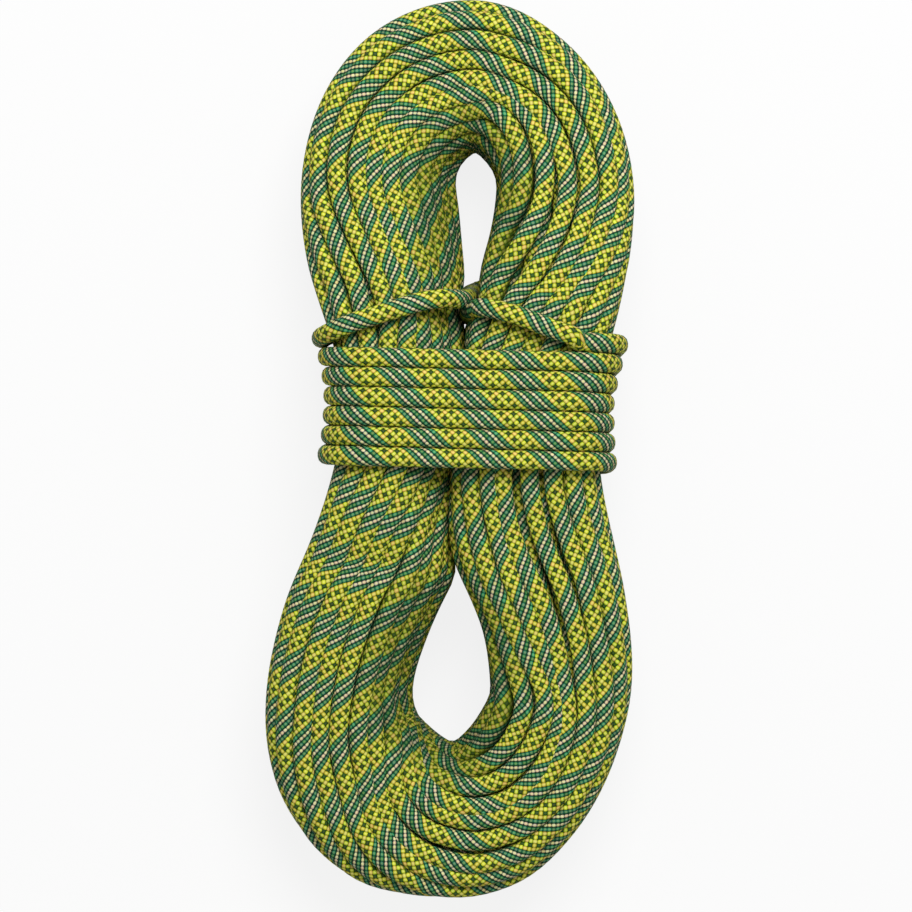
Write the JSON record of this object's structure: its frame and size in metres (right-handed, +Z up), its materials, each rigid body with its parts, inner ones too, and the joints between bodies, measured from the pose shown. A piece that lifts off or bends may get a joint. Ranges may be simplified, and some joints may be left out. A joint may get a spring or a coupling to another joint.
{
  "type": "dynamic climbing rope",
  "caption": "Braided kernmantle climbing rope wound flat into a two-lobed hank, bound around its waist and tucked through the upper eye, with sealed ends under it.",
  "frame": {"origin": "middle of the hank's bounding box, on the surface that it lies on", "axes": "+Y along the hank from its lower, wider lobe to its upper lobe, +Z up from the surface, +X to the right"},
  "size_m": [0.1904, 0.4622, 0.1134],
  "materials": {
    "rope_sheath": "woven",
    "packed_laps": "woven",
    "core_yarn": "matte",
    "marker_tape": "matte",
    "fused_seal": "matte",
    "end_sleeve": "gloss"
  },
  "bodies": {
    "root": {"hank_core": "packed_laps", "hank_loops": "rope_sheath", "lead_in": "rope_sheath", "waist_wrap": "rope_sheath", "lock_tuck": "rope_sheath", "inner_end_sheath": "rope_sheath", "inner_end_marker_tape": "marker_tape", "inner_end_seal": "fused_seal", "inner_end_sleeve": "end_sleeve", "inner_end_strand_1": "core_yarn", "inner_end_strand_2": "core_yarn", "inner_end_strand_3": "core_yarn", "inner_end_strand_4": "core_yarn", "inner_end_strand_5": "core_yarn", "inner_end_strand_6": "core_yarn", "inner_end_strand_7": "core_yarn", "inner_end_strand_8": "core_yarn", "inner_end_strand_9": "core_yarn", "inner_end_strand_10": "core_yarn", "inner_end_strand_11": "core_yarn", "inner_end_strand_12": "core_yarn", "outer_end_sheath": "rope_sheath", "outer_end_marker_tape": "marker_tape", "outer_end_seal": "fused_seal", "outer_end_sleeve": "end_sleeve", "outer_end_strand_1": "core_yarn", "outer_end_strand_2": "core_yarn", "outer_end_strand_3": "core_yarn", "outer_end_strand_4": "core_yarn", "outer_end_strand_5": "core_yarn", "outer_end_strand_6": "core_yarn", "outer_end_strand_7": "core_yarn", "outer_end_strand_8": "core_yarn", "outer_end_strand_9": "core_yarn", "outer_end_strand_10": "core_yarn", "outer_end_strand_11": "core_yarn", "outer_end_strand_12": "core_yarn"}
  },
  "joints": []
}
